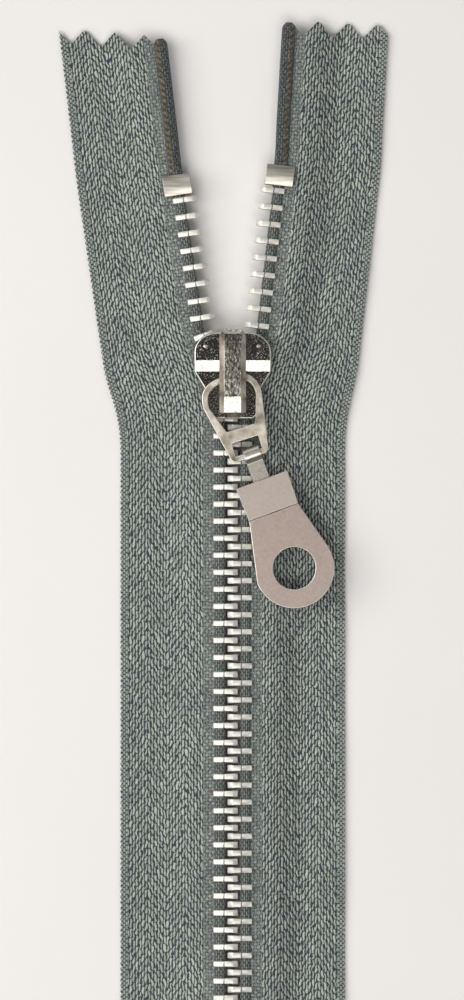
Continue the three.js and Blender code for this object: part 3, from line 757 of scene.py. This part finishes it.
def prism(name, outline, levels):
    """A flat piece cut to an outline, then raised from its lower level to its upper one."""
    low, high = levels
    bpy.ops.object.select_all(action="DESELECT")
    bpy.ops.mesh.primitive_circle_add(vertices=len(outline), radius=MM, fill_type="NGON", location=(0, 0, 0))
    piece = bpy.context.object
    piece.name = name
    for corner, (x, y) in zip(piece.data.vertices, outline):
        corner.co = (x * MM, y * MM, low * MM)
    bpy.ops.object.mode_set(mode="EDIT")
    bpy.ops.mesh.select_all(action="SELECT")
    bpy.ops.mesh.extrude_region_move(TRANSFORM_OT_translate={"value": (0, 0, (high - low) * MM)})
    bpy.ops.mesh.select_all(action="SELECT")
    bpy.ops.mesh.normals_make_consistent(inside=False)
    bpy.ops.object.mode_set(mode="OBJECT")
    return piece


shoulder = []
for step in range(SHOULDER_STEPS + 1):
    angle = math.pi / 2 * (1 - step / SHOULDER_STEPS)
    shoulder.append((NOSE_HALF_WIDTH + (PLATE_HALF_WIDTH - NOSE_HALF_WIDTH) * math.cos(angle),
                     SHOULDER_FROM + (PLATE_HALF_LENGTH - SHOULDER_FROM) * math.sin(angle)))
plate_outline = both_sides(shoulder + TAIL_SIDE)

casting = prism("slider_casting", plate_outline, FACE_LEVELS)
bpy.ops.object.mode_set(mode="EDIT")
for cut_y in (STEP_FROM, STEP_TO):
    cut_across((0, cut_y * MM, 0), (0, 1, 0))
bpy.ops.object.mode_set(mode="OBJECT")
for corner in casting.data.vertices:
    if corner.co.z > 5 * MM and corner.co.y > (STEP_FROM - 0.05) * MM:
        corner.co.z += STEP_UP * MM
ease_edges(casting, PLATE_EDGE, angle=30, creases=(STEP_FROM, STEP_TO))
back = prism("back_plate", plate_outline, BACK_LEVELS)
ease_edges(back, PLATE_EDGE, angle=30)

way_cutter = prism("way_cutter", WAY_OUTLINE, WAY_LEVELS)
parts = [casting, back, prism("wedge", both_sides(WEDGE_SIDE), WEDGE_LEVELS)]
for levels in FLANGE_LEVELS:
    flange = prism("flange", [(x * FLANGE_SHARE[0], y * FLANGE_SHARE[1]) for x, y in plate_outline], levels)
    cutter = flange.modifiers.new("way", "BOOLEAN")
    cutter.object = way_cutter
    cutter.operation = "DIFFERENCE"
    cutter.solver = "EXACT"
    bpy.ops.object.modifier_apply(modifier=cutter.name)
    parts.append(flange)
bpy.data.objects.remove(way_cutter)

for x, y in PIP_PLACES:
    bpy.ops.mesh.primitive_uv_sphere_add(segments=16, ring_count=10, radius=PIP_RADIUS * MM,
                                         location=(0, 0, 0))
    pip = bpy.context.object
    pip_place = Matrix.Translation(Vector((x, y, 5 + STEP_UP)) * MM)
    pip.data.transform(pip_place @ Matrix.Diagonal((1, 0.7, 0.45, 1)))
    bpy.ops.object.shade_smooth()
    parts.append(pip)

bpy.ops.object.select_all(action="DESELECT")
for part in parts:
    part.select_set(True)
bpy.context.view_layer.objects.active = casting
bpy.ops.object.join()
# The sloped faces of the upper rim take the paler nickel: a painted highlight.
two_finishes(casting, cast, highlight_nickel,
             lambda side: side.center.z > RIM_ABOVE * MM and RIM_SLOPE[0] < side.normal.z < RIM_SLOPE[1])
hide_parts("slider_body")
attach(casting, "slider")

crown = worked_copy("slider_crown", "slider_crown_bridge", 0)
bpy.ops.object.mode_set(mode="EDIT")
for cut_y in CROWN_CUTS_Y:
    cut_across((0, cut_y * MM, 0), (0, 1, 0))
for cut_x in CROWN_CUTS_X:
    cut_across((cut_x * MM, 0, 0), (1, 0, 0))
bpy.ops.object.mode_set(mode="OBJECT")
for corner in crown.data.vertices:
    x, y, z = corner.co / MM
    on_bow = z > 7.7 and y < CROWN_BOW_FROM
    at_rear_corner = z > 7.6 and y < -5.3 and abs(x) > 1.5
    on_nose = z > 7.2 and y > 6
    if on_bow:
        corner.co.z -= CROWN_BOW * (CROWN_BOW_FROM - max(y, CROWN_BOW_TO)) ** 2 * MM
    if at_rear_corner:
        corner.co.z -= CROWN_CORNER_DROP * MM
    if on_nose:
        corner.co.x *= CROWN_NOSE_TAPER
ease_edges(crown, PLATE_EDGE, angle=25, creases=(CROWN_BOW_TO,))
two_finishes(crown, worn, soft_nickel, lambda side: abs(side.normal.x) > CROWN_SIDE_SLOPE)
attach(crown, "slider")

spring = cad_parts["lock_spring"]
spring.data.materials.clear()
spring.data.materials.append(nickel.material)


# Link. A pear-shaped ring stamped from thick sheet, with a slot for the pull's strap. Its faces are
# satin, and its eased edges carry a painted highlight, a paler nickel.
LINK_EDGE = 0.28
LINK_RIM_SLOPE = (0.15, 0.97)

link = worked_copy("pull_link", "link_ring", LINK_EDGE)
# The sloped edge faces take the paler nickel: a painted highlight.
two_finishes(link, soft_nickel, highlight_nickel,
             lambda side: LINK_RIM_SLOPE[0] < abs(side.normal.z) < LINK_RIM_SLOPE[1])
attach(link, "link")


# Pull. A strap is bent round the link's lower bar, a clamp is folded over the strap and the plate's
# tongue, and the plate ends in a round hole. All have a fine satin plating: pale on the strap, and
# warmer on the clamp and the plate, whose edges carry a painted highlight, a paler nickel.
PULL_RIM_SLOPE = (0.3, 0.97)
PULL_PIECES = [
    dict(node="pull_strap", name="strap_band", edge=0.16, roughness=0.24,
         deep=linear(178, 172, 158), pale=linear(240, 236, 226)),
    dict(node="pull_clamp", name="clamp_fold", edge=0.16, roughness=0.36,
         deep=linear(176, 164, 155), pale=linear(200, 190, 181)),
    dict(node="pull_plate", name="plate_leaf", edge=0.14, roughness=0.36,
         deep=linear(164, 148, 140), pale=linear(192, 178, 170)),
]

for made in PULL_PIECES:
    plating = Finish(made["name"] + "_plating", Metallic=1.0)
    brushed = plating.noise(2600.0, 3.0)
    plating.to("Base Color", plating.mix(brushed, made["deep"], made["pale"]))
    plating.to("Roughness", brushed * 0.15 + made["roughness"])
    plating.bump(brushed, 0.15, 0.00004)
    piece = worked_copy(made["node"], made["name"], made["edge"])
    if made["name"] == "strap_band":
        piece.data.materials.append(plating.material)
    else:
        # The upward sloped edge faces take the paler nickel: a painted highlight.
        two_finishes(piece, plating, highlight_nickel,
                     lambda side: PULL_RIM_SLOPE[0] < side.normal.z < PULL_RIM_SLOPE[1])
    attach(piece, "pull")


# Set. A pale paper floor, a large soft light from the left, a small one at the near side for the
# bright facets, weaker ones at the right and far side, and an overhead fill that the mirrors don't
# show, so that they reflect a dark room.
MIDDLE = Vector((-0.1, -18.1, 0)) * MM
FLOOR_DROP = 0.02
CAMERA_HEIGHT = 1.2167

paper = Finish("paper", Roughness=0.9, Specular_IOR_Level=0.1)
paper.to("Base Color", paper.mix(paper.noise(30.0), linear(238, 236, 234), linear(242, 240, 238)))
bpy.ops.mesh.primitive_plane_add(size=3, location=(0, 0, -FLOOR_DROP * MM))
floor = bpy.context.object
floor.name = "paper_floor"
floor.data.materials.append(paper.material)


def soft_light(name, place, size, power, colour, in_mirrors=True):
    lamp = bpy.data.lights.new(name, "AREA")
    lamp.shape = "RECTANGLE"
    lamp.size, lamp.size_y = size
    lamp.energy = power
    lamp.color = colour
    holder = new_piece(name, lamp)
    holder.location = MIDDLE + Vector(place)
    holder.rotation_euler = (-Vector(place)).to_track_quat("-Z", "Y").to_euler()
    holder.visible_glossy = in_mirrors


soft_light("left_light", (-0.35, 0.05, 0.43), (0.35, 0.5), 2.1, (1.0, 0.985, 0.96))
soft_light("near_light", (0.0, -0.26, 0.61), (0.6, 0.26), 1.6, (1.0, 0.99, 0.97))
soft_light("right_light", (0.75, 0.05, 0.35), (0.12, 0.8), 0.35, (0.97, 0.98, 1.0))
soft_light("far_light", (0.0, 0.8, 0.4), (0.9, 0.3), 1.1, (1.0, 1.0, 1.0))
soft_light("fill_light", (0.0, 0.0, 1.6), (1.4, 1.4), 3.4, (0.99, 0.98, 1.0), in_mirrors=False)

world = bpy.data.worlds.new("studio")
world.use_nodes = True
world.node_tree.nodes["Background"].inputs["Color"].default_value = (0.26, 0.25, 0.25, 1)
world.node_tree.nodes["Background"].inputs["Strength"].default_value = 0.3
bpy.context.scene.world = world
bpy.context.scene.view_settings.view_transform = "Standard"

lens = bpy.data.cameras.new("overhead")
lens.lens = 300
lens.sensor_fit = "VERTICAL"
lens.sensor_height = 36
lens.clip_start = 0.01
camera = new_piece("overhead", lens)
camera.location = MIDDLE + Vector((0, 0, CAMERA_HEIGHT))
bpy.context.scene.camera = camera
